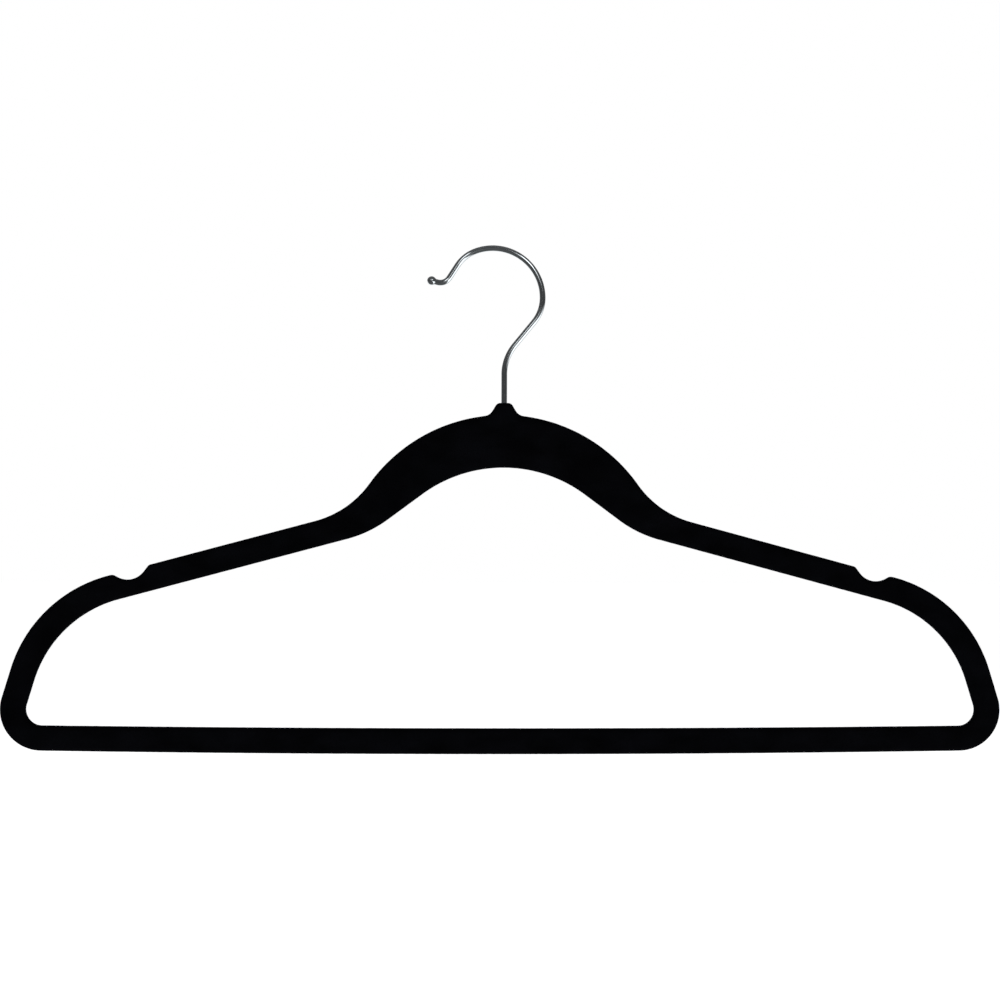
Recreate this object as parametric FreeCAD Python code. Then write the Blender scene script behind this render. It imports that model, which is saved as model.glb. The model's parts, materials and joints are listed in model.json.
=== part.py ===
"""A flocked clothes hanger with a swivelling wire hook, in millimetres.

One closed plastic frame makes the neck, the two sloping shoulders with their strap notches, the
rounded ends and the trouser bar.  The frame is moulded as a solid core and carries a coat of short
black pile all over.  A bright wire hook turns in the neck: its lower end is upset to a head, which a
steel ferrule holds, and the plastic is moulded round that ferrule.  A small ball closes the hook's
free end.

Heights are first measured up from the middle of the bar's underside, and x from the hook's stem.
Every part is then moved so that the origin lies where the hook rests on its rail, with +Z up, the
rail along Y and the hanger in the XZ plane.
"""
import FreeCAD
import Part
import math
import os

# ---- frame outline, over the pile -------------------------------------------------------------
OVERALL_WIDTH = 445.0
SHOULDER_SLOPE = 15.0       # degrees below horizontal
SHOULDER_APEX = 126.0       # height where the two shoulder lines would meet over the middle
ARM_WIDTH = 11.4            # across a shoulder
END_LEAN = 17.1             # degrees that the ends lean in from the vertical
END_ARC_R = 61.0            # the big round between shoulder and end, outside
END_INNER_ARC_R = 53.0      # and inside
END_WIDTH = 11.3            # across an end
LOWER_CORNER_R = 18.3
INNER_CORNER_R = 7.2
BAR_DEPTH = 11.4
BAR_BOW_HALF_LENGTH = 200.0 # the bar bows over this length on each side of the middle
BAR_BOW = 1.5               # its underside hangs this much lower in the middle
BAR_TOP_BOW = 1.2           # and its top side this much

# ---- hump and neck, over the pile -------------------------------------------------------------
HUMP_R = 73.45
HUMP_CENTRE_Z = 77.55
HUMP_START = 8.0            # degrees from the vertical, where the neck's flare runs out
HUMP_END = 54.2             # degrees from the vertical, where the hump meets the shoulder's hollow
HOLLOW_R = 43.0             # the hollow between hump and shoulder
ARCH_R = 61.0               # the underside of the hump
ARCH_TOP_Z = 127.5
ARCH_END = 36.5             # degrees from the vertical
ARCH_HOLLOW_R = 53.5
NECK_TOP_Z = 156.3
NECK_TOP_HALF = 3.1         # half the width where the neck's sides meet its top
NECK_SIDE_ANGLE = 59.0      # degrees below horizontal
NECK_TOP_R = 2.4
NECK_FLARE_R = 4.9
NECK_PILLAR_R = 3.3         # the round rib that stands proud of both faces, round the hook's stem
NECK_PILLAR_FOOT_Z = 137.0

# ---- strap notches ----------------------------------------------------------------------------
NOTCH_R = 9.2
NOTCH_X = 166.8
NOTCH_Z = 86.5              # the scoop's centre
NOTCH_INNER_WALL = -53.0    # degrees, the slope where the scoop leaves the inner lip
NOTCH_OUTER_WALL = 30.0
INNER_LIP_R = 2.0
OUTER_LIP_R = 3.0

# ---- thicknesses ------------------------------------------------------------------------------
THICKNESS = 5.0             # over the pile
PILE = 0.5                  # height of the flocked pile
EDGE_R = 1.8                # rounding of every edge, over the pile

# ---- hook -------------------------------------------------------------------------------------
WIRE_R = 1.3
STEM_BEND_R = 20.7
HOOK_LEAN = 39.2            # degrees from the vertical of the slanting run
SLANT_LENGTH = 13.6
EYE_BEND_R = 16.6           # where the slanting run turns into the crook
CROOK_R = 22.2
CROOK_ANGLE = 110.8
NOSE_R = 16.4
NOSE_ANGLE = 36.3
NOSE_STRAIGHT = 6.5
TIP_BEND_R = 4.8
TIP_BEND_ANGLE = 72.0
TIP_STRAIGHT = 2.7
HOOK_TOP_Z = 226.5          # over the top of the wire
BALL_R = 2.0
BALL_SOCKET_DEPTH = 2.0

# ---- swivel -----------------------------------------------------------------------------------
HEAD_R = 1.75               # the upset head on the wire's lower end
HEAD_THICK = 1.0
HEAD_Z = 142.6              # underside of the head
FERRULE_R = 2.25
FERRULE_WALL = 0.42
FERRULE_FOOT_Z = 141.9
FERRULE_TOP_Z = 153.0
FERRULE_LIP = 1.2           # thickness of the rolled-in lip
GROOVE_DEPTH = 0.22
GROOVE_WIDTH = 0.8
GROOVE_COUNT = 4
RUNNING_GAP = 0.05          # all round, between turning and fixed metal
HEAD_SIDE_GAP = 0.08
MOUTH_GAP = 0.2             # between the wire and the plastic or the pile

V = FreeCAD.Vector
OUT = "parts"


# ---- plane geometry in X and Z ----------------------------------------------------------------
def direction(angle):
    """Unit (x, z) at an angle in degrees, counter-clockwise from +X."""
    a = math.radians(angle)
    return math.cos(a), math.sin(a)


def crossing(p, angle_p, q, angle_q):
    """Where the line through p at angle_p meets the line through q at angle_q."""
    (ax, az), (bx, bz) = direction(angle_p), direction(angle_q)
    t = ((q[0] - p[0]) * bz - (q[1] - p[1]) * bx) / (ax * bz - az * bx)
    return p[0] + t * ax, p[1] + t * az


def arc_corner(centre, radius, start, end):
    """The corner whose rounding is the arc of that circle from start to end, in degrees."""
    reach = radius / math.cos(math.radians(end - start) / 2)
    dx, dz = direction((start + end) / 2)
    return centre[0] + reach * dx, centre[1] + reach * dz, radius


def on_circle(centre, radius, angle):
    dx, dz = direction(angle)
    return centre[0] + radius * dx, centre[1] + radius * dz


def mirrored(corners):
    """Corners on the right, from bottom to top, followed by the same on the left."""
    return corners + [(-x, z, r) for x, z, r in reversed(corners) if abs(x) > 1e-9]


def grown(corners, distance):
    """The same counter-clockwise outline, moved outward all round by this much."""
    result = []
    n = len(corners)
    for i, (x, z, r) in enumerate(corners):
        before = V(x - corners[i - 1][0], z - corners[i - 1][1], 0).normalize()
        after = V(corners[(i + 1) % n][0] - x, corners[(i + 1) % n][1] - z, 0).normalize()
        turns_left = before.cross(after).z > 0
        outward = V(before.y + after.y, -before.x - after.x, 0) * (1 / (1 + before.dot(after)))
        new_r = r + distance if turns_left else r - distance
        result.append((x + distance * outward.x, z + distance * outward.y, new_r))
    return result


def rounded_wire(corners, y):
    """A closed wire at depth y through rounded corners (x, z, radius)."""
    edges = []
    joints = []
    n = len(corners)
    for i, (x, z, r) in enumerate(corners):
        here = V(x, y, z)
        before = V(corners[i - 1][0], y, corners[i - 1][1]) - here
        after = V(corners[(i + 1) % n][0], y, corners[(i + 1) % n][1]) - here
        before.normalize()
        after.normalize()
        half = before.getAngle(after) / 2
        back_off = r / math.tan(half)
        inward = (before + after).normalize()
        nearest = here + inward * (r / math.sin(half) - r)
        joints.append((here + before * back_off, nearest, here + after * back_off))
    for i, (start, middle, end) in enumerate(joints):
        edges.append(Part.Arc(start, middle, end).toShape())
        following = joints[(i + 1) % n][0]
        if end.distanceToPoint(following) > 1e-6:
            edges.append(Part.LineSegment(end, following).toShape())
    return Part.Wire(edges)


# ---- frame outline ----------------------------------------------------------------------------
def bowed_edge(z_middle, bow):
    """The slope at a bowed edge's ends, and the corner whose huge rounding is the edge."""
    slope = 2 * math.atan(bow / BAR_BOW_HALF_LENGTH)
    corner_z = z_middle + bow - BAR_BOW_HALF_LENGTH * math.tan(slope)
    return math.degrees(slope), (0.0, corner_z, BAR_BOW_HALF_LENGTH / math.sin(slope))


def lower_corner_centre():
    """Centre of the round that joins the bar's underside to the right end."""
    rise, bow = bowed_edge(0.0, BAR_BOW)
    x = OVERALL_WIDTH / 2 - LOWER_CORNER_R
    slope = math.radians(rise)
    return x, bow[1] + x * math.tan(slope) + LOWER_CORNER_R / math.cos(slope)


def outer_corners():
    rise, underside = bowed_edge(0.0, BAR_BOW)
    lower_centre = lower_corner_centre()
    lower = arc_corner(lower_centre, LOWER_CORNER_R, -90 + rise, END_LEAN)
    shoulder_point = (0.0, SHOULDER_APEX)
    end_point = on_circle(lower_centre, LOWER_CORNER_R, END_LEAN)
    round_end = crossing(end_point, 90 + END_LEAN, shoulder_point, -SHOULDER_SLOPE)

    notch = (NOTCH_X, NOTCH_Z)
    inner_wall = on_circle(notch, NOTCH_R, NOTCH_INNER_WALL - 90)
    outer_wall = on_circle(notch, NOTCH_R, NOTCH_OUTER_WALL - 90)
    scoop = arc_corner(notch, NOTCH_R, NOTCH_OUTER_WALL - 90, NOTCH_INNER_WALL - 90)
    outer_lip = crossing(outer_wall, NOTCH_OUTER_WALL, shoulder_point, -SHOULDER_SLOPE)
    inner_lip = crossing(inner_wall, NOTCH_INNER_WALL, shoulder_point, -SHOULDER_SLOPE)

    hump_centre = (0.0, HUMP_CENTRE_Z)
    hump_foot = on_circle(hump_centre, HUMP_R, 90 - HUMP_END)
    hump_head = on_circle(hump_centre, HUMP_R, 90 - HUMP_START)
    hollow = crossing(hump_foot, -HUMP_END, shoulder_point, -SHOULDER_SLOPE)
    hump = arc_corner(hump_centre, HUMP_R, 90 - HUMP_END, 90 - HUMP_START)
    neck_side = (NECK_TOP_HALF, NECK_TOP_Z)
    flare = crossing(neck_side, -NECK_SIDE_ANGLE, hump_head, -HUMP_START)
    return mirrored([
        underside,
        lower,
        (*round_end, END_ARC_R),
        (*outer_lip, OUTER_LIP_R),
        scoop,
        (*inner_lip, INNER_LIP_R),
        (*hollow, HOLLOW_R),
        hump,
        (*flare, NECK_FLARE_R),
        (*neck_side, NECK_TOP_R),
    ])


def inner_corners():
    rise, bar_top = bowed_edge(BAR_DEPTH, BAR_TOP_BOW)
    end_point = on_circle(lower_corner_centre(), LOWER_CORNER_R - END_WIDTH, END_LEAN)
    under_shoulder = (0.0, SHOULDER_APEX - ARM_WIDTH / math.cos(math.radians(SHOULDER_SLOPE)))
    inner_corner = crossing(bar_top[:2], rise, end_point, 90 + END_LEAN)
    round_end = crossing(end_point, 90 + END_LEAN, under_shoulder, -SHOULDER_SLOPE)
    arch_centre = (0.0, ARCH_TOP_Z - ARCH_R)
    arch_foot = on_circle(arch_centre, ARCH_R, 90 - ARCH_END)
    hollow = crossing(arch_foot, -ARCH_END, under_shoulder, -SHOULDER_SLOPE)
    arch = arc_corner(arch_centre, ARCH_R, 90 - ARCH_END, 90)
    return mirrored([
        bar_top,
        (*inner_corner, INNER_CORNER_R),
        (*round_end, END_INNER_ARC_R),
        (*hollow, ARCH_HOLLOW_R),
        arch,
    ])


# ---- frame solids -----------------------------------------------------------------------------
def soft_edged_plate(inset):
    """The whole frame as one plate, this far inside the pile's surface, edges rounded."""
    thickness = THICKNESS - 2 * inset
    outer = Part.Face(rounded_wire(grown(outer_corners(), -inset), -thickness / 2))
    inner = Part.Face(rounded_wire(grown(inner_corners(), inset), -thickness / 2))
    plate = outer.extrude(V(0, thickness, 0)).cut(inner.extrude(V(0, thickness, 0)))
    rims = [e for e in plate.Edges if abs(e.BoundBox.YLength) < 1e-6]
    return plate.makeFillet(EDGE_R - inset, rims)


def neck_pillar(inset):
    """The round rib that runs down both faces of the neck, domed at the top and foot."""
    r = NECK_PILLAR_R - inset
    low = NECK_PILLAR_FOOT_Z + NECK_PILLAR_R
    high = NECK_TOP_Z - NECK_PILLAR_R
    shaft = Part.makeCylinder(r, high - low, V(0, 0, low))
    return shaft.fuse([Part.makeSphere(r, V(0, 0, low)), Part.makeSphere(r, V(0, 0, high))])


def frame_body(inset):
    return soft_edged_plate(inset).fuse(neck_pillar(inset))


def stem_bore():
    """The round passage through plastic and pile that the wire comes out of."""
    reach = NECK_TOP_Z + PILE - FERRULE_TOP_Z
    return Part.makeCylinder(WIRE_R + MOUTH_GAP, reach, V(0, 0, FERRULE_TOP_Z))


def moulded_core():
    pocket = Part.makeCylinder(FERRULE_R, FERRULE_TOP_Z - FERRULE_FOOT_Z, V(0, 0, FERRULE_FOOT_Z))
    pocket = pocket.cut(ferrule_grooves())
    return frame_body(PILE).cut(pocket.fuse(stem_bore()))


def flock_coat():
    return frame_body(0.0).cut(frame_body(PILE)).cut(stem_bore())


# ---- swivel solids ----------------------------------------------------------------------------
def ferrule_grooves():
    """Rings cut round the ferrule, which the moulded plastic fills."""
    step = (FERRULE_TOP_Z - FERRULE_FOOT_Z) / (GROOVE_COUNT + 1)
    rings = []
    for i in range(GROOVE_COUNT):
        foot = V(0, 0, FERRULE_FOOT_Z + (i + 1) * step - GROOVE_WIDTH / 2)
        ring = Part.makeCylinder(FERRULE_R, GROOVE_WIDTH, foot)
        rings.append(ring.cut(Part.makeCylinder(FERRULE_R - GROOVE_DEPTH, GROOVE_WIDTH, foot)))
    return Part.makeCompound(rings)


def swivel_ferrule():
    """A deep steel cup, its rim rolled in over the head on the hook's lower end."""
    height = FERRULE_TOP_Z - FERRULE_FOOT_Z
    cup = Part.makeCylinder(FERRULE_R, height, V(0, 0, FERRULE_FOOT_Z))
    chamber_low = HEAD_Z - RUNNING_GAP
    lip_low = chamber_low + HEAD_THICK + 2 * RUNNING_GAP
    chamber = Part.makeCylinder(HEAD_R + HEAD_SIDE_GAP, lip_low - chamber_low, V(0, 0, chamber_low))
    throat = Part.makeCylinder(WIRE_R + RUNNING_GAP, FERRULE_LIP, V(0, 0, lip_low))
    sleeve_low = lip_low + FERRULE_LIP
    sleeve = Part.makeCylinder(FERRULE_R - FERRULE_WALL, FERRULE_TOP_Z - FERRULE_LIP - sleeve_low,
                               V(0, 0, sleeve_low))
    rim = Part.makeCylinder(WIRE_R + RUNNING_GAP, FERRULE_LIP, V(0, 0, FERRULE_TOP_Z - FERRULE_LIP))
    return cup.cut([chamber, throat, sleeve, rim, ferrule_grooves()])


# ---- hook -------------------------------------------------------------------------------------
def hook_path():
    """The wire's centreline from its head to its tip: straight runs and tangent arcs."""
    lean = math.radians(HOOK_LEAN)
    crook_centre_z = HOOK_TOP_Z - WIRE_R - CROOK_R
    bends_rise = (STEM_BEND_R + EYE_BEND_R) * math.sin(lean) + SLANT_LENGTH * math.cos(lean)
    stem_top_z = crook_centre_z - bends_rise
    # Each step is (length, 0) for a straight run or (radius, turn) for an arc, turn in degrees
    # and positive to the left of the way the path runs.
    steps = [
        (stem_top_z - HEAD_Z, 0.0),
        (STEM_BEND_R, -HOOK_LEAN),
        (SLANT_LENGTH, 0.0),
        (EYE_BEND_R, HOOK_LEAN),
        (CROOK_R, CROOK_ANGLE),
        (NOSE_R, NOSE_ANGLE),
        (NOSE_STRAIGHT, 0.0),
        (TIP_BEND_R, -TIP_BEND_ANGLE),
        (TIP_STRAIGHT, 0.0),
    ]
    x, z, heading = 0.0, HEAD_Z, 90.0
    edges = []
    for size, turn in steps:
        start = V(x, 0, z)
        if turn == 0.0:
            dx, dz = direction(heading)
            x, z = x + size * dx, z + size * dz
            edges.append(Part.LineSegment(start, V(x, 0, z)).toShape())
            continue
        side = 90.0 if turn > 0 else -90.0
        cx, cz = on_circle((x, z), size, heading + side)
        middle = on_circle((cx, cz), size, heading - side + turn / 2)
        x, z = on_circle((cx, cz), size, heading - side + turn)
        edges.append(Part.Arc(start, V(middle[0], 0, middle[1]), V(x, 0, z)).toShape())
        heading += turn
    return Part.Wire(edges), (x, z), heading


def wire_hook():
    path, _, _ = hook_path()
    section = Part.Wire(Part.makeCircle(WIRE_R, V(0, 0, HEAD_Z), V(0, 0, 1)))
    wire = path.makePipeShell([section], True, True)
    head = Part.makeCylinder(HEAD_R, HEAD_THICK, V(0, 0, HEAD_Z))
    head = head.makeFillet(HEAD_THICK / 4, [e for e in head.Edges if e.BoundBox.ZLength < 1e-6])
    return wire.fuse(head).removeSplitter()


def hook_tip_ball():
    _, tip, heading = hook_path()
    dx, dz = direction(heading)
    gap = BALL_SOCKET_DEPTH - BALL_R
    centre = V(tip[0] + gap * dx, 0, tip[1] + gap * dz)
    ball = Part.makeSphere(BALL_R, centre)
    back = V(tip[0] - 2 * BALL_R * dx, 0, tip[1] - 2 * BALL_R * dz)
    socket = Part.makeCylinder(WIRE_R, 2 * BALL_R, back, V(dx, 0, dz))
    return ball.cut(socket)


# ---- output -----------------------------------------------------------------------------------
def rail_seat():
    """The point on the crook's underside that rests on the rail."""
    lean = math.radians(HOOK_LEAN)
    run = (STEM_BEND_R + EYE_BEND_R) * (1 - math.cos(lean)) + SLANT_LENGTH * math.sin(lean)
    return V(run - CROOK_R, 0, HOOK_TOP_Z - 2 * WIRE_R)


def main():
    os.makedirs(OUT, exist_ok=True)
    parts = {
        "moulded_core": moulded_core(),
        "flock_coat": flock_coat(),
        "swivel_ferrule": swivel_ferrule(),
        "wire_hook": wire_hook(),
        "hook_tip_ball": hook_tip_ball(),
    }
    seat = rail_seat()
    for name, shape in parts.items():
        shape.translate(-seat)
        shape.exportStep(os.path.join(OUT, name + ".step"))
        box = shape.BoundBox
        print(f"{name}: valid {shape.isValid()}, solids {len(shape.Solids)}, "
              f"volume {shape.Volume:.1f}, x {box.XMin:.2f}..{box.XMax:.2f}, "
              f"y {box.YMin:.2f}..{box.YMax:.2f}, z {box.ZMin:.2f}..{box.ZMax:.2f}")
    print(f"stem axis at x {-seat.x:.3f}, bar underside at z {-seat.z:.3f}")


main()
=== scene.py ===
"""The looks of a flocked clothes hanger, built round its CAD frame.

Three pieces are modelled here, because their looks need finer meshes than the CAD carries: the coat of
black pile with its rounded edges and the soft rib at the neck, the bright wire hook, and the ball on its
tip.  The moulded core and the ferrule, which show only down the neck's mouth, keep their CAD meshes.

Lengths are in millimetres until a mesh is made, with x measured from the hook's stem and z from the
middle of the bar's underside, and each mesh is then put into the frame's metres.
"""
import json
import math

import bmesh
import bpy
import numpy as np
from mathutils import Matrix, Vector, noise


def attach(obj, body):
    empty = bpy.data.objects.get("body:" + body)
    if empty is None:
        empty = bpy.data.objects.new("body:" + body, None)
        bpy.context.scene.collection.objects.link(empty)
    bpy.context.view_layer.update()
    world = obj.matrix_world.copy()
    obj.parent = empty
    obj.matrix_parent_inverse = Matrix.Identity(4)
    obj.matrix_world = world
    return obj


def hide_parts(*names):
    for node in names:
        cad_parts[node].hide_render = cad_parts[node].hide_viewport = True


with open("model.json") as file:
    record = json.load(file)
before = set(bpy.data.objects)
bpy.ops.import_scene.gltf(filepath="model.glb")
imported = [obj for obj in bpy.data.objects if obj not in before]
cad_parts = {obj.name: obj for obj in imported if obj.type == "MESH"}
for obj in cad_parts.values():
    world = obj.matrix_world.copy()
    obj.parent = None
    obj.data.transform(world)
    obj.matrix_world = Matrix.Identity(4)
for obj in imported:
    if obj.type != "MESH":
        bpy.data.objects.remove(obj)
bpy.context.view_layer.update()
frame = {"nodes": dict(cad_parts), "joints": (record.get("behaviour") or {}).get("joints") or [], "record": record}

MM = 0.001
SLIVER = 0.002              # points closer together than this are joined after a cut

# ---- frame outline, over the pile -------------------------------------------------------------
OVERALL_WIDTH = 445.0
SHOULDER_SLOPE = 15.0       # degrees below horizontal
SHOULDER_APEX = 126.0       # height where the two shoulder lines would meet over the middle
ARM_WIDTH = 11.4
END_LEAN = 17.1             # degrees that the ends lean in from the vertical
END_ARC_R = 61.0
END_INNER_ARC_R = 53.0
END_WIDTH = 11.3
LOWER_CORNER_R = 18.3
INNER_CORNER_R = 7.2
BAR_DEPTH = 11.4
BAR_BOW_HALF_LENGTH = 200.0
BAR_BOW = 1.5
BAR_TOP_BOW = 1.2
HUMP_R = 73.45
HUMP_CENTRE_Z = 77.55
HUMP_START = 8.0            # degrees from the vertical, as are the next two
HUMP_END = 54.2
ARCH_END = 36.5
HOLLOW_R = 43.0
ARCH_R = 61.0
ARCH_TOP_Z = 127.5
ARCH_HOLLOW_R = 53.5
NECK_TOP_Z = 156.3
NECK_TOP_HALF = 3.1
NECK_SIDE_ANGLE = 59.0
NECK_TOP_R = 2.4
NECK_FLARE_R = 4.9
NOTCH_R = 9.2
NOTCH_X = 166.8
NOTCH_Z = 86.5
NOTCH_INNER_WALL = -53.0
NOTCH_OUTER_WALL = 30.0
INNER_LIP_R = 2.0
OUTER_LIP_R = 3.0

# ---- thickness of the coated frame ------------------------------------------------------------
HALF_THICKNESS = 2.5
PILE = 0.5
EDGE_R = 1.8
RIB_PROUD = 0.8             # how far the rib round the stem stands out of each face
RIB_HALF_WIDTH = 4.4
RIB_FOOT_Z = 134.0
RIB_FULL_Z = 142.0
NAP_DEPTH = 0.035           # unevenness of the pile's surface
NAP_PITCH = 1.6

# ---- hook -------------------------------------------------------------------------------------
WIRE_R = 1.3
STEM_BEND_R = 20.7
HOOK_LEAN = 39.2
SLANT_LENGTH = 13.6
EYE_BEND_R = 16.6
CROOK_R = 22.2
CROOK_ANGLE = 110.8
NOSE_R = 16.4
NOSE_ANGLE = 36.3
NOSE_STRAIGHT = 6.5
TIP_BEND_R = 4.8
TIP_BEND_ANGLE = 72.0
TIP_STRAIGHT = 2.7
HOOK_TOP_Z = 226.5
BALL_R = 2.0
SOCKET_GAP = 0.004          # round the wire in the ball's socket
COLLAR_PROUD = 0.16         # how far the collar that fills the join stands out of the wire
COLLAR_LENGTH = 0.28
HEAD_R = 1.75
HEAD_THICK = 1.0
HEAD_EDGE_R = 0.25
HEAD_Z = 142.6
MOUTH_R = 1.5               # of the opening that the wire comes out of
MOUTH_FLOOR_Z = 153.0       # top of the ferrule
MOUTH_OVERRUN = 2.0         # how far the tool that cuts the opening reaches above the neck

# ---- mesh fineness ----------------------------------------------------------------------------
STATION_PITCH = 0.85        # along the frame
STATION_TURN = 8.0          # the same, in millimetres for each radian that the outline turns
LINING_PITCH = 1.7
SKIN_STEPS = (4, 2, 12)     # round each edge, across each side and across each face of the band
LINING_STEPS = (2, 1, 4)
MOUTH_SIDES = 72
WIRE_PITCH = 0.6
WIRE_SIDES = 56
BALL_RINGS = 40
SHARP_ANGLE = math.radians(40)
ON_AXIS = 1e-9              # corners nearer to the middle than this have no mirror image
SAME_POINT = 1e-7
NAP_OCTAVES = (0.8, 2.0, 3)     # fractal dimension, lacunarity and octaves of the pile's unevenness

mounts = {mount["name"]: mount["pos_m"] for mount in frame["record"]["mounts"]}
stem_x = frame["joints"][0]["pos_m"][0]
underside_z = mounts["trouser_bar"][2] - BAR_DEPTH * MM


# ---- plane geometry in x and z ----------------------------------------------------------------
def direction(angle):
    """Unit (x, z) at an angle in degrees, counter-clockwise from +x."""
    a = math.radians(angle)
    return np.array([math.cos(a), math.sin(a)])


def crossing(p, angle_p, q, angle_q):
    """Where the line through p at angle_p meets the line through q at angle_q."""
    a, b = direction(angle_p), direction(angle_q)
    gap = np.subtract(q, p)
    return np.array(p) + a * (gap[0] * b[1] - gap[1] * b[0]) / (a[0] * b[1] - a[1] * b[0])


def on_circle(centre, radius, angle):
    return np.array(centre) + radius * direction(angle)


def arc_corner(centre, radius, start, end):
    """The corner whose rounding is the arc of that circle from start to end, in degrees."""
    reach = radius / math.cos(math.radians(end - start) / 2)
    return (*on_circle(centre, reach, (start + end) / 2), radius)


def bowed_edge(z_middle, bow):
    """The slope at a bowed edge's ends, and the corner whose huge rounding is the edge."""
    slope = 2 * math.atan(bow / BAR_BOW_HALF_LENGTH)
    corner_z = z_middle + bow - BAR_BOW_HALF_LENGTH * math.tan(slope)
    return math.degrees(slope), (0.0, corner_z, BAR_BOW_HALF_LENGTH / math.sin(slope))


def mirrored(corners):
    """Corners on the right, from bottom to top, followed by the same on the left."""
    return corners + [(-x, z, r) for x, z, r in reversed(corners) if abs(x) > ON_AXIS]


def lower_corner_centre():
    rise, bow = bowed_edge(0.0, BAR_BOW)
    x = OVERALL_WIDTH / 2 - LOWER_CORNER_R
    slope = math.radians(rise)
    return x, bow[1] + x * math.tan(slope) + LOWER_CORNER_R / math.cos(slope)


def outer_corners():
    """The frame's outside as corners (x, z, radius), counter-clockwise."""
    apex = (0.0, SHOULDER_APEX)
    rise, underside = bowed_edge(0.0, BAR_BOW)
    centre = lower_corner_centre()
    end_point = on_circle(centre, LOWER_CORNER_R, END_LEAN)
    round_end = crossing(end_point, 90 + END_LEAN, apex, -SHOULDER_SLOPE)
    notch = (NOTCH_X, NOTCH_Z)
    outer_wall = on_circle(notch, NOTCH_R, NOTCH_OUTER_WALL - 90)
    inner_wall = on_circle(notch, NOTCH_R, NOTCH_INNER_WALL - 90)
    outer_lip = crossing(outer_wall, NOTCH_OUTER_WALL, apex, -SHOULDER_SLOPE)
    inner_lip = crossing(inner_wall, NOTCH_INNER_WALL, apex, -SHOULDER_SLOPE)
    hump_centre = (0.0, HUMP_CENTRE_Z)
    hump_foot = on_circle(hump_centre, HUMP_R, 90 - HUMP_END)
    hump_head = on_circle(hump_centre, HUMP_R, 90 - HUMP_START)
    neck_side = (NECK_TOP_HALF, NECK_TOP_Z)
    return mirrored([
        underside,
        arc_corner(centre, LOWER_CORNER_R, -90 + rise, END_LEAN),
        (*round_end, END_ARC_R),
        (*outer_lip, OUTER_LIP_R),
        arc_corner(notch, NOTCH_R, NOTCH_OUTER_WALL - 90, NOTCH_INNER_WALL - 90),
        (*inner_lip, INNER_LIP_R),
        (*crossing(hump_foot, -HUMP_END, apex, -SHOULDER_SLOPE), HOLLOW_R),
        arc_corner(hump_centre, HUMP_R, 90 - HUMP_END, 90 - HUMP_START),
        (*crossing(neck_side, -NECK_SIDE_ANGLE, hump_head, -HUMP_START), NECK_FLARE_R),
        (*neck_side, NECK_TOP_R),
    ])


def inner_corners():
    """The opening's outline as corners (x, z, radius), counter-clockwise."""
    rise, bar_top = bowed_edge(BAR_DEPTH, BAR_TOP_BOW)
    end_point = on_circle(lower_corner_centre(), LOWER_CORNER_R - END_WIDTH, END_LEAN)
    under = (0.0, SHOULDER_APEX - ARM_WIDTH / math.cos(math.radians(SHOULDER_SLOPE)))
    arch_centre = (0.0, ARCH_TOP_Z - ARCH_R)
    arch_foot = on_circle(arch_centre, ARCH_R, 90 - ARCH_END)
    return mirrored([
        bar_top,
        (*crossing(bar_top[:2], rise, end_point, 90 + END_LEAN), INNER_CORNER_R),
        (*crossing(end_point, 90 + END_LEAN, under, -SHOULDER_SLOPE), END_INNER_ARC_R),
        (*crossing(arch_foot, -ARCH_END, under, -SHOULDER_SLOPE), ARCH_HOLLOW_R),
        arc_corner(arch_centre, ARCH_R, 90 - ARCH_END, 90),
    ])


class Outline:
    """A closed outline of rounded corners, as closely spaced points with their outward normals."""
    SPACING = 0.2
    TURN = math.radians(3)

    def __init__(self, corners):
        points, normals = [], []
        n = len(corners)
        for i, (x, z, r) in enumerate(corners):
            here = np.array([x, z])
            back = np.array(corners[i - 1][:2]) - here
            ahead = np.array(corners[(i + 1) % n][:2]) - here
            back /= np.linalg.norm(back)
            ahead /= np.linalg.norm(ahead)
            half = math.acos(np.clip(back @ ahead, -1, 1)) / 2
            convex = back[1] * ahead[0] - back[0] * ahead[1] > 0
            middle = (back + ahead) / np.linalg.norm(back + ahead)
            centre = here + middle * r / math.sin(half)
            turn = math.pi - 2 * half
            steps = max(3, math.ceil(turn / self.TURN), math.ceil(turn * r / self.SPACING))
            sense = 1 if convex else -1
            for k in range(steps + 1):
                a = sense * (k / steps - 0.5) * turn
                c, s = math.cos(a), math.sin(a)
                spoke = -np.array([c * middle[0] - s * middle[1], s * middle[0] + c * middle[1]])
                points.append(centre + r * spoke)
                normals.append(sense * spoke)
        self.points, self.normals = self.filled(np.array(points), np.array(normals))
        steps = np.linalg.norm(np.diff(self.points, axis=0), axis=1)
        self.along = np.concatenate([[0.0], np.cumsum(steps)])
        dots = (self.normals[1:] * self.normals[:-1]).sum(1)
        self.turned = np.concatenate([[0.0], np.cumsum(np.arccos(np.clip(dots, -1, 1)))])

    def filled(self, points, normals):
        """Adds points along the straight runs and closes the outline."""
        points = np.vstack([points, points[:1]])
        normals = np.vstack([normals, normals[:1]])
        out_p, out_n = [points[0]], [normals[0]]
        for a, b, na, nb in zip(points, points[1:], normals, normals[1:]):
            gap = np.linalg.norm(b - a)
            if gap < SAME_POINT:
                continue
            steps = max(1, math.ceil(gap / self.SPACING - 0.01))
            for k in range(1, steps + 1):
                out_p.append(a + (b - a) * k / steps)
                out_n.append(na + (nb - na) * k / steps)
        return np.array(out_p), np.array(out_n)

    def at(self, along):
        """Points and unit outward normals at these distances along the outline."""
        point = [np.interp(along, self.along, self.points[:, k]) for k in (0, 1)]
        normal = np.array([np.interp(along, self.along, self.normals[:, k]) for k in (0, 1)])
        return np.array(point).T, (normal / np.linalg.norm(normal, axis=0)).T


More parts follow.
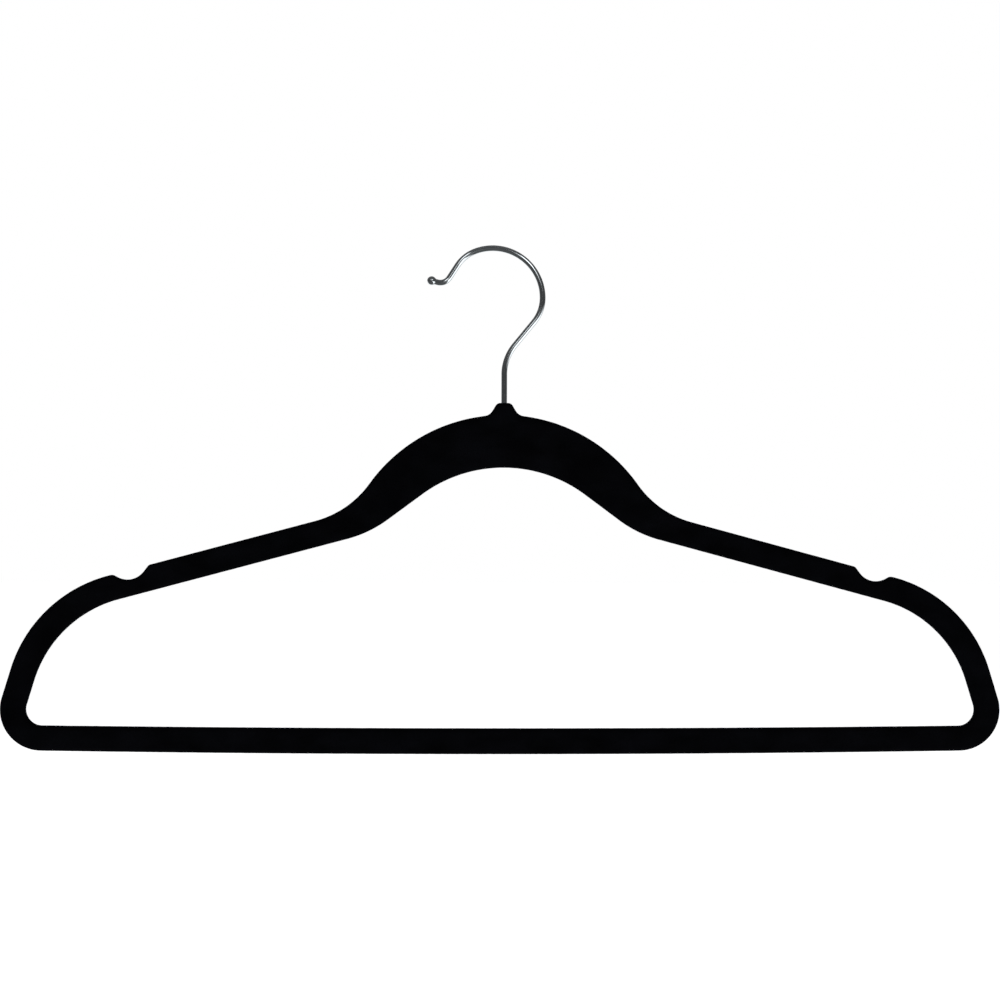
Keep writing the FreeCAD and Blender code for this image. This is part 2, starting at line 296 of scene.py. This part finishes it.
def stations(outer, inner, pitch):
    """Pairs of places, one on each outline, square across the band and evenly spread along it."""
    met = []
    for p, n in zip(inner.points, inner.normals):
        gap = outer.points - p
        side = n[0] * gap[:, 1] - n[1] * gap[:, 0]
        ahead = gap @ n
        cut = np.flatnonzero((side[:-1] < 0) & (side[1:] >= 0) & (ahead[:-1] > 0))
        i = cut[np.argmin(ahead[cut])]
        share = side[i] / (side[i] - side[i + 1])
        met.append(outer.along[i] + share * (outer.along[i + 1] - outer.along[i]))
    length = outer.along[-1]
    met = np.unwrap(np.array(met), period=length)
    met = np.maximum.accumulate(met - met[0]) + met[0]
    turned = np.interp(met, np.append(outer.along, outer.along + length),
                       np.append(outer.turned, outer.turned + outer.turned[-1]))
    step = np.maximum.reduce([
        np.diff(inner.along),
        np.diff(met),
        STATION_TURN * np.diff(turned),
        STATION_TURN * np.diff(inner.turned),
    ])
    measure = np.concatenate([[0.0], np.cumsum(step)])
    count = round(measure[-1] / pitch)
    wanted = np.arange(count) * measure[-1] / count
    return outer.at(np.interp(wanted, measure, met) % length), inner.at(
        np.interp(wanted, measure, inner.along))


# ---- meshes -----------------------------------------------------------------------------------
def add_mesh(name, points, faces):
    """A smooth-shaded object from points in millimetres, put into the frame's metres."""
    placed = np.asarray(points) * MM + np.array([stem_x, 0.0, underside_z])
    mesh = bpy.data.meshes.new(name)
    mesh.from_pydata(placed.tolist(), [], faces)
    mesh.shade_smooth()
    mesh.set_sharp_from_angle(angle=SHARP_ANGLE)
    obj = bpy.data.objects.new(name, mesh)
    bpy.context.scene.collection.objects.link(obj)
    return obj


def grid_faces(rows, columns, first=0):
    """Quads of a grid that closes on itself both ways, facing out of a coat_surface."""
    faces = []
    for j in range(rows):
        here, ahead = first + j * columns, first + (j + 1) % rows * columns
        for k in range(columns):
            n = (k + 1) % columns
            faces.append((here + k, here + n, ahead + n, ahead + k))
    return faces


def rib(xz):
    """How far the rib round the stem has risen, from 0 to 1, at these places on the face."""
    across = np.clip(1 - (xz[:, 0] / RIB_HALF_WIDTH) ** 2, 0, 1) ** 2
    up = np.clip((xz[:, 1] - RIB_FOOT_Z) / (RIB_FULL_Z - RIB_FOOT_Z), 0, 1)
    return across * up * up * (3 - 2 * up)


def coat_surface(pairs, inset, edge_steps, side_steps, face_steps):
    """Points [station, place round the section, xyz] of the frame's surface, moved inwards."""
    (outside, outward), (inside, bandward) = pairs
    r = EDGE_R - inset
    corner = np.linspace(0, math.pi / 2, edge_steps + 1)
    rows = []

    def add(xz, drop, facing):
        half = HALF_THICKNESS - inset + RIB_PROUD * rib(xz)
        rows.append(np.column_stack([xz[:, 0], facing * (half - drop), xz[:, 1]]))

    def rim(start, inwards, first_face):
        """Round one edge of the band, from one face to the other."""
        for a in corner:
            add(start + inwards * (inset + r * (1 - math.sin(a))), r * (1 - math.cos(a)), first_face)
        for k in range(1, side_steps):
            half = HALF_THICKNESS - inset + RIB_PROUD * rib(start + inwards * inset)
            add(start + inwards * inset, r + 2 * (half - r) * k / side_steps, first_face)
        for a in corner[::-1]:
            add(start + inwards * (inset + r * (1 - math.sin(a))), r * (1 - math.cos(a)), -first_face)

    def face(start, end, facing):
        for k in range(1, face_steps):
            add(start + (end - start) * k / face_steps, 0.0, facing)

    outer_flat = outside - outward * (inset + r)
    inner_flat = inside + bandward * (inset + r)
    rim(outside, -outward, -1)
    face(outer_flat, inner_flat, 1)
    rim(inside, bandward, 1)
    face(inner_flat, outer_flat, -1)
    return np.stack(rows, axis=1)


def roughened(obj):
    """Makes the pile's surface slightly uneven, along its own normals."""
    mesh = obj.data
    normals = [Vector(v.normal) for v in mesh.vertices]
    for vertex, normal in zip(mesh.vertices, normals):
        place = vertex.co / (NAP_PITCH * MM)
        vertex.co += normal * NAP_DEPTH * MM * noise.fractal(place, *NAP_OCTAVES)
    mesh.update()


def cleaned(mesh):
    """Joins points that the cut left on top of each other, and drops its slivers."""
    work = bmesh.new()
    work.from_mesh(mesh)
    bmesh.ops.remove_doubles(work, verts=work.verts, dist=SLIVER * MM)
    bmesh.ops.dissolve_degenerate(work, edges=work.edges, dist=SLIVER * MM)
    bmesh.ops.triangulate(work, faces=[face for face in work.faces if len(face.verts) > 4])
    work.to_mesh(mesh)
    work.free()


def cut_mouth(obj):
    """Cuts the round opening for the wire through the pile on top of the neck."""
    top = NECK_TOP_Z + MOUTH_OVERRUN
    rings = [(MOUTH_FLOOR_Z, 0.0), (MOUTH_FLOOR_Z, MOUTH_R), (top, MOUTH_R), (top, 0.0)]
    cutter = ring_mesh("mouth_cutter", [((0.0, z), 90.0, r) for z, r in rings], MOUTH_SIDES)
    cut = obj.modifiers.new("mouth", "BOOLEAN")
    cut.object = cutter
    cut.operation = "DIFFERENCE"
    cut.solver = "EXACT"
    shaped = bpy.data.meshes.new_from_object(obj.evaluated_get(bpy.context.evaluated_depsgraph_get()))
    cleaned(shaped)
    shaped.set_sharp_from_angle(angle=SHARP_ANGLE)
    obj.modifiers.clear()
    obj.data = shaped
    bpy.data.objects.remove(cutter)


def ring_mesh(name, rings, sides):
    """A closed surface through rings ((x, z), heading in degrees, radius), poles where it is 0."""
    points, faces = [], []
    turns = (np.arange(sides) + 0.5) * 2 * math.pi / sides
    previous = None
    for (x, z), heading, radius in rings:
        across = direction(heading + 90)
        centre = np.array([x, 0.0, z])
        first = len(points)
        if radius == 0.0:
            points.append(centre)
            current = [first] * sides
        else:
            for t in turns:
                spoke = np.array([across[0] * math.cos(t), math.sin(t), across[1] * math.cos(t)])
                points.append(centre + radius * spoke)
            current = list(range(first, first + sides))
        if previous:
            for k in range(sides):
                n = (k + 1) % sides
                quad = (previous[k], current[k], current[n], previous[n])
                faces.append(tuple(dict.fromkeys(quad)))
        previous = current
    return add_mesh(name, points, faces)


# ---- pieces -----------------------------------------------------------------------------------
def flock_coat():
    outer, inner = Outline(outer_corners()), Outline(inner_corners())
    skin = coat_surface(stations(outer, inner, STATION_PITCH), 0.0, *SKIN_STEPS)
    lining = coat_surface(stations(outer, inner, LINING_PITCH), PILE, *LINING_STEPS)
    points = np.vstack([skin.reshape(-1, 3), lining.reshape(-1, 3)])
    lining_faces = grid_faces(*lining.shape[:2], first=skin.shape[0] * skin.shape[1])
    faces = grid_faces(*skin.shape[:2]) + [face[::-1] for face in lining_faces]
    coat = add_mesh("flock_pile", points, faces)
    roughened(coat)
    cut_mouth(coat)
    return coat


def hook_line():
    """The wire's centreline from its head to its tip, as (place, heading, distance)."""
    lean = math.radians(HOOK_LEAN)
    rise = (STEM_BEND_R + EYE_BEND_R) * math.sin(lean) + SLANT_LENGTH * math.cos(lean)
    stem_top_z = HOOK_TOP_Z - WIRE_R - CROOK_R - rise
    runs = [                    # (length, 0) or (radius, turn to the left)
        (stem_top_z - HEAD_Z, 0.0),
        (STEM_BEND_R, -HOOK_LEAN),
        (SLANT_LENGTH, 0.0),
        (EYE_BEND_R, HOOK_LEAN),
        (CROOK_R, CROOK_ANGLE),
        (NOSE_R, NOSE_ANGLE),
        (NOSE_STRAIGHT, 0.0),
        (TIP_BEND_R, -TIP_BEND_ANGLE),
        (TIP_STRAIGHT, 0.0),
    ]
    place, heading, distance = np.array([0.0, HEAD_Z]), 90.0, 0.0
    line = [(place, heading, distance)]
    for size, turn in runs:
        length = abs(math.radians(turn)) * size if turn else size
        count = math.ceil(length / WIRE_PITCH)
        start, start_heading = place, heading
        side = 90.0 if turn > 0 else -90.0
        centre = on_circle(start, size, start_heading + side)
        for k in range(1, count + 1):
            if turn:
                heading = start_heading + turn * k / count
                place = on_circle(centre, size, heading - side)
            else:
                place = start + direction(heading) * length * k / count
            line.append((place, heading, distance + length * k / count))
        distance += length
    return line


def wire_hook():
    quarter = np.radians([0, 30, 60, 90])
    edge = [(HEAD_EDGE_R * (1 - math.sin(a)), HEAD_EDGE_R * (1 - math.cos(a))) for a in quarter]
    head = [(up, HEAD_R - back) for back, up in edge]
    head += [(HEAD_THICK - up, HEAD_R - back) for back, up in reversed(edge)]
    head += [(HEAD_THICK, WIRE_R + HEAD_EDGE_R), (HEAD_THICK + HEAD_EDGE_R, WIRE_R)]
    rings = [((0.0, HEAD_Z), 90.0, 0.0)]
    rings += [((0.0, HEAD_Z + up), 90.0, r) for up, r in head]
    line = hook_line()
    wire_starts = HEAD_THICK + 2 * HEAD_EDGE_R
    rings += [(place, heading, WIRE_R) for place, heading, far in line if far > wire_starts]
    tip, heading, _ = line[-1]
    rings.append((tip, heading, 0.0))
    return ring_mesh("bright_wire_hook", rings, WIRE_SIDES), tip, heading


def tip_ball(tip, heading):
    """A ball with a socket for the wire, and a small collar where the plating fills the join."""
    socket_r = WIRE_R + SOCKET_GAP
    collar_r = WIRE_R + COLLAR_PROUD
    back = math.degrees(math.asin(collar_r / BALL_R))
    collar_end = BALL_R * math.cos(math.radians(back)) + COLLAR_LENGTH
    profile = [                 # (distance along the wire, radius)
        (0.0, 0.0),
        (0.0, socket_r),
        (-collar_end + 0.04, socket_r),
        (-collar_end, socket_r + 0.02),
        (-collar_end + 0.08, WIRE_R + COLLAR_PROUD / 2),
        (-collar_end + 0.2, collar_r),
    ]
    for angle in np.linspace(180 - back - 1, 0, BALL_RINGS):
        a = math.radians(angle)
        profile.append((BALL_R * math.cos(a), BALL_R * math.sin(a) if angle else 0.0))
    along = direction(heading)
    rings = [(tip + along * s, heading, r) for s, r in profile]
    return ring_mesh("hook_ball", rings, WIRE_SIDES)


# ---- materials --------------------------------------------------------------------------------
class Finish:
    """A material and its Principled shader, with short ways to add patterns to them."""

    def __init__(self, name, **settings):
        self.material = bpy.data.materials.new(name)
        self.material.use_nodes = True
        self.tree = self.material.node_tree
        self.shader = self.tree.nodes["Principled BSDF"]
        self.place = self.node("ShaderNodeTexCoord").outputs["Object"]
        for socket, value in settings.items():
            self.shader.inputs[socket.replace("_", " ")].default_value = value

    def node(self, kind, **inputs):
        node = self.tree.nodes.new(kind)
        for socket, value in inputs.items():
            self.put(node.inputs[socket.replace("_", " ")], value)
        return node

    def put(self, socket, value):
        if isinstance(value, bpy.types.NodeSocket):
            self.tree.links.new(value, socket)
        else:
            socket.default_value = value

    def noise(self, size, detail=2.0, stretch=(1, 1, 1)):
        """Noise from 0 to 1 whose blotches are about this many millimetres across."""
        scaled = self.node("ShaderNodeMapping", Vector=self.place, Scale=stretch)
        pattern = self.node("ShaderNodeTexNoise", Scale=1 / (size * MM), Detail=detail)
        self.put(pattern.inputs["Vector"], scaled.outputs["Vector"])
        return pattern.outputs["Fac"]

    def spread(self, value, low, high, start=0.3, end=0.7):
        """A number from low to high as value goes from start to end."""
        node = self.node("ShaderNodeMapRange", Value=value)
        limits = {"From Min": start, "From Max": end, "To Min": low, "To Max": high}
        for socket, number in limits.items():
            node.inputs[socket].default_value = number
        return node.outputs["Result"]

    def colour(self, share, first, second):
        """A colour from first to second as share goes from 0 to 1."""
        ramp = self.node("ShaderNodeValToRGB", Fac=share)
        for stop, rgb in zip(ramp.color_ramp.elements, (first, second)):
            stop.color = (*rgb, 1.0)
        self.put(self.shader.inputs["Base Color"], ramp.outputs["Color"])

    def bump(self, height, depth):
        """Relief of this depth, in millimetres."""
        node = self.node("ShaderNodeBump", Height=height, Distance=depth * MM)
        if self.shader.inputs["Normal"].is_linked:
            self.put(node.inputs["Normal"], self.shader.inputs["Normal"].links[0].from_socket)
        self.put(self.shader.inputs["Normal"], node.outputs["Normal"])

    def roughness(self, value):
        self.put(self.shader.inputs["Roughness"], value)


def flock_finish():
    """Short black pile, which sends back almost no light, except a blue-black sheen at the edges."""
    finish = Finish("black_flock", Specular_IOR_Level=0.02, Sheen_Weight=0.15, Sheen_Roughness=0.22,
                    Sheen_Tint=(0.50, 0.66, 1.0, 1.0))
    fibre_tips = finish.noise(0.32, detail=3.0)
    brushed = finish.noise(17.0, detail=4.0, stretch=(1.0, 1.0, 1.6))
    tone = finish.node("ShaderNodeMath", Value=fibre_tips)
    tone.operation = "MULTIPLY"
    finish.put(tone.inputs[1], finish.spread(brushed, 0.35, 1.0, 0.35, 0.68))
    finish.colour(tone.outputs["Value"], (0.0002, 0.0002, 0.0003), (0.0030, 0.0032, 0.0046))
    finish.roughness(finish.spread(fibre_tips, 0.82, 1.0))
    finish.bump(finish.noise(1.3), 0.05)
    finish.bump(fibre_tips, 0.10)
    return finish.material


def chrome_finish():
    """Bright plating with a faint haze and the slight waviness of drawn wire."""
    finish = Finish("bright_plating", Metallic=1.0)
    haze = finish.noise(2.6, detail=5.0)
    finish.colour(finish.spread(haze, 0.0, 1.0), (0.72, 0.78, 0.81), (0.82, 0.87, 0.90))
    finish.roughness(finish.spread(haze, 0.04, 0.10))
    finish.bump(finish.noise(1.4), 0.0008)
    return finish.material


def core_finish():
    """Black moulded ABS with a spark-eroded grain."""
    finish = Finish("black_abs", Specular_IOR_Level=0.4)
    grain = finish.noise(0.22, detail=3.0)
    blotches = finish.spread(finish.noise(6.0), 0.0, 1.0)
    finish.colour(blotches, (0.010, 0.010, 0.011), (0.018, 0.018, 0.019))
    finish.roughness(finish.spread(grain, 0.40, 0.60))
    finish.bump(grain, 0.012)
    return finish.material


def ferrule_finish():
    """Zinc-plated steel with turning marks round it."""
    finish = Finish("zinc_plate", Metallic=1.0)
    rings = finish.noise(0.5, detail=3.0, stretch=(0.3, 0.3, 4.0))
    finish.colour(finish.spread(rings, 0.0, 1.0), (0.50, 0.50, 0.49), (0.66, 0.66, 0.64))
    finish.roughness(finish.spread(rings, 0.25, 0.42))
    finish.bump(rings, 0.006)
    return finish.material


def dress(obj, material):
    obj.data.materials.clear()
    obj.data.materials.append(material)


# ---- stage ------------------------------------------------------------------------------------
FLOOR_DROP = 0.25           # metres below the bar, because the hanger hangs
FLOOR_SIZE = 16.0
FLOOR_GLOW = 0.9


def white_floor():
    bpy.ops.mesh.primitive_plane_add(size=FLOOR_SIZE, location=(0, 0, underside_z - FLOOR_DROP))
    floor = bpy.context.object
    floor.name = "floor"
    floor.visible_glossy = False
    finish = Finish("pale_floor", Emission_Color=(1.0, 1.0, 1.0, 1.0),
                    Emission_Strength=FLOOR_GLOW)
    finish.colour(finish.noise(40.0), (0.86, 0.86, 0.86), (0.90, 0.90, 0.90))
    finish.roughness(0.9)
    dress(floor, finish.material)


# What the chrome mirrors is painted on the distant sky.  A bearing is an angle in degrees round the line of
# sight, as seen from the front and counter-clockwise from +x.  A pair (full, none) gives where a light is
# at full strength and where it has faded out, as a component of the ray's direction.
ROOM_LEVEL = 0.05           # at the horizon, and as much again straight up or down

# Each lamp is a strip: the bearing of its middle, how far that lies from the line of sight in degrees, its
# half length along that bearing and its half width in degrees, and its brightness.
MIRRORED_LAMPS = (
    (51.0, 30.0, 15.0, 4.0, 2.0),
    (120.0, 27.0, 13.0, 3.0, 1.5),
)
LAMP_FADE = 2.5             # degrees over which a lamp fades out at its rim

LOW_LIGHT_BEARING = -35.0   # of the wedge that whitens one side of the slanting run
LOW_LIGHT_START = 8.0       # degrees from the line of sight to its point
LOW_LIGHT_SLOPE = 3.2       # degrees that its edge moves out for each degree of bearing
LOW_LIGHT_FADE = 16.0       # degrees over which that edge fades
LOW_LIGHT_BACK = (0.14, 0.29)
LOW_LIGHT_LEVEL = 1.5
BELOW_HORIZON = (-0.12, -0.02)

GLOW_LEVEL = 0.24           # a dim patch below the horizon, stronger to the right
GLOW_SPAN = (0.1, -0.5)

BACKDROP_REACH = 62.0       # degrees from straight behind that the mirrored backdrop takes up
BACKDROP_FADE = 12.0
BACKDROP_HEIGHT = (-0.15, 0.25)


def seen_from_front(bearing, off_sight):
    """Unit direction at a bearing round the line of sight and an angle away from it, in degrees."""
    bearing, off_sight = math.radians(bearing), math.radians(off_sight)
    return Vector((math.sin(off_sight) * math.cos(bearing), -math.cos(off_sight),
                   math.sin(off_sight) * math.sin(bearing)))


class Sky:
    """The node tree of the world, with short ways to add to what reflected rays see in it."""

    def __init__(self):
        self.world = bpy.data.worlds.new("studio")
        self.world.use_nodes = True
        self.tree = self.world.node_tree
        self.tree.nodes.clear()
        self.ray = self.tree.nodes.new("ShaderNodeTexCoord").outputs["Generated"]

    def maths(self, operation, *values, kind="ShaderNodeMath", output="Value"):
        node = self.tree.nodes.new(kind)
        node.operation = operation
        for socket, value in zip(node.inputs, values):
            if isinstance(value, bpy.types.NodeSocket):
                self.tree.links.new(value, socket)
            else:
                socket.default_value = value
        return node.outputs[output]

    def along(self, axis):
        return self.maths("DOT_PRODUCT", self.ray, axis, kind="ShaderNodeVectorMath")

    def fade(self, value, full, none):
        """1 where value is at full or beyond it, 0 at none."""
        node = self.tree.nodes.new("ShaderNodeMapRange")
        node.interpolation_type = "SMOOTHSTEP"
        self.tree.links.new(value, node.inputs["Value"])
        node.inputs["From Min"].default_value = none
        node.inputs["From Max"].default_value = full
        return node.outputs["Result"]

    def within(self, axis, half_angle):
        """1 where the ray leans less than half_angle out of the plane across this axis."""
        lean = self.maths("ABSOLUTE", self.along(axis))
        inner, outer = (math.sin(math.radians(a)) for a in (half_angle, half_angle + LAMP_FADE))
        return self.fade(lean, inner, outer)

    def wedge(self, bearing, start, slope):
        """1 inside a light that narrows to a point this many degrees from the line of sight."""
        off_sight = self.maths("ARCCOSINE", self.along((0, -1, 0)))
        aside = self.along(seen_from_front(bearing + 90.0, 90.0))
        ahead = self.along(seen_from_front(bearing, 90.0))
        turned = self.maths("ABSOLUTE", self.maths("ARCTAN2", aside, ahead))
        depth = self.maths("SUBTRACT", off_sight, self.maths("MULTIPLY", turned, slope))
        return self.fade(depth, math.radians(start + LOW_LIGHT_FADE), math.radians(start))

    def near(self, axis, half_angle, fade_angle):
        """1 where the ray is less than half_angle from this axis, 0 fade_angle further out."""
        full, none = (math.cos(math.radians(a)) for a in (half_angle, half_angle + fade_angle))
        return self.fade(self.along(axis), full, none)

    def lamp(self, bearing, off_sight, half_length, half_width, brightness):
        ahead = self.near(seen_from_front(bearing, off_sight), half_length, LAMP_FADE)
        across = self.within(seen_from_front(bearing + 90.0, 90.0), half_width)
        return self.maths("MULTIPLY", self.maths("MULTIPLY", across, ahead), brightness)

    def show(self, mirrored):
        """Makes the world plain white to look at and this bright, grey, to every other ray."""
        nodes, links = self.tree.nodes, self.tree.links
        room, plain = nodes.new("ShaderNodeBackground"), nodes.new("ShaderNodeBackground")
        plain.inputs["Color"].default_value = (1.0, 1.0, 1.0, 1.0)
        links.new(mirrored, room.inputs["Color"])
        either = nodes.new("ShaderNodeMixShader")
        links.new(nodes.new("ShaderNodeLightPath").outputs["Is Camera Ray"], either.inputs["Fac"])
        links.new(room.outputs["Background"], either.inputs[1])
        links.new(plain.outputs["Background"], either.inputs[2])
        out = nodes.new("ShaderNodeOutputWorld")
        links.new(either.outputs["Shader"], out.inputs["Surface"])
        bpy.context.scene.world = self.world


def studio_world():
    """White to look at.  What the chrome mirrors is a dim room with a few soft lights in it."""
    sky = Sky()
    up, right, back = (sky.along(axis) for axis in ((0, 0, 1), (1, 0, 0), (0, 1, 0)))
    below = sky.fade(up, *BELOW_HORIZON)
    wedge = sky.wedge(LOW_LIGHT_BEARING, LOW_LIGHT_START, LOW_LIGHT_SLOPE)
    low_light = sky.maths("MULTIPLY", sky.maths("MULTIPLY", wedge, below), sky.fade(back, *LOW_LIGHT_BACK))
    glow = sky.maths("MULTIPLY", sky.fade(sky.maths("ADD", right, up), *GLOW_SPAN), below)
    behind = sky.near((0, 1, 0), BACKDROP_REACH - BACKDROP_FADE, BACKDROP_FADE)
    brightest = sky.maths("MULTIPLY_ADD", sky.maths("ABSOLUTE", up), ROOM_LEVEL, ROOM_LEVEL)
    for light in (
        *(sky.lamp(*lamp) for lamp in MIRRORED_LAMPS),
        sky.maths("MULTIPLY", low_light, LOW_LIGHT_LEVEL),
        sky.maths("MULTIPLY", glow, GLOW_LEVEL),
        sky.maths("MULTIPLY", behind, sky.fade(up, *BACKDROP_HEIGHT)),
    ):
        brightest = sky.maths("MAXIMUM", brightest, light)
    sky.show(brightest)


def soft_light(name, place, size, power):
    """A square area light that faces the middle of the hanger."""
    data = bpy.data.lights.new(name, "AREA")
    data.size = size
    data.energy = power
    light = bpy.data.objects.new(name, data)
    light.location = place
    middle = Vector((stem_x, 0.0, underside_z / 2))
    light.rotation_euler = (middle - light.location).to_track_quat("-Z", "Y").to_euler()
    light.visible_glossy = False
    bpy.context.scene.collection.objects.link(light)


SOFT_LIGHTS = (             # name, place and width in metres, power in watts
    ("key", (-1.3, -1.6, 1.1), 1.2, 16.0),
    ("fill", (1.6, -1.2, 0.4), 1.4, 9.0),
    ("back_left", (-1.8, 1.2, 0.3), 1.0, 10.0),
    ("back_right", (1.8, 1.2, 0.3), 1.0, 10.0),
)

CAMERA_DISTANCE = 0.9
CAMERA_AIM = (-1.70, 113.12)    # x and z, in millimetres, of the point in the picture's middle
CAMERA_TURN = 1.63              # degrees that the view is turned about the vertical
CAMERA_ROLL = 0.20
FRAME_WIDTH_MM = 445.33         # how much of the hanger's plane the picture's width takes in
SENSOR = 36.0
CAMERA_CLIP = (0.01, 60.0)


def camera():
    data = bpy.data.cameras.new("camera")
    data.sensor_width = SENSOR
    data.lens = SENSOR * CAMERA_DISTANCE / (FRAME_WIDTH_MM * MM)
    data.clip_start, data.clip_end = CAMERA_CLIP
    turn, roll = math.radians(CAMERA_TURN), math.radians(CAMERA_ROLL)
    ahead = Vector((math.sin(turn), math.cos(turn), 0.0))
    right = Vector((math.cos(turn), -math.sin(turn), 0.0))
    up = Vector((0.0, 0.0, 1.0))
    rolled_right = right * math.cos(roll) + up * math.sin(roll)
    rolled_up = up * math.cos(roll) - right * math.sin(roll)
    aim = Vector((stem_x + CAMERA_AIM[0] * MM, 0.0, underside_z + CAMERA_AIM[1] * MM))
    view = bpy.data.objects.new("camera", data)
    axes = Matrix((rolled_right, rolled_up, -ahead)).transposed()
    view.matrix_world = Matrix.Translation(aim - ahead * CAMERA_DISTANCE) @ axes.to_4x4()
    bpy.context.scene.collection.objects.link(view)
    bpy.context.scene.camera = view


# ---- the scene --------------------------------------------------------------------------------
coat = flock_coat()
hook, tip, tip_heading = wire_hook()
ball = tip_ball(tip, tip_heading)
plating = chrome_finish()
for piece, node, body, slot, material in (
    (coat, "flock_coat", "hanger", "flock", flock_finish()),
    (hook, "wire_hook", "hook", "chrome", plating),
    (ball, "hook_tip_ball", "hook", "chrome", plating),
):
    dress(piece, material)
    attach(piece, body)
    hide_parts(node)
dress(frame["nodes"]["moulded_core"], core_finish())
dress(frame["nodes"]["swivel_ferrule"], ferrule_finish())

white_floor()
studio_world()
for soft in SOFT_LIGHTS:
    soft_light(*soft)
camera()
bpy.context.scene.view_settings.view_transform = "Standard"
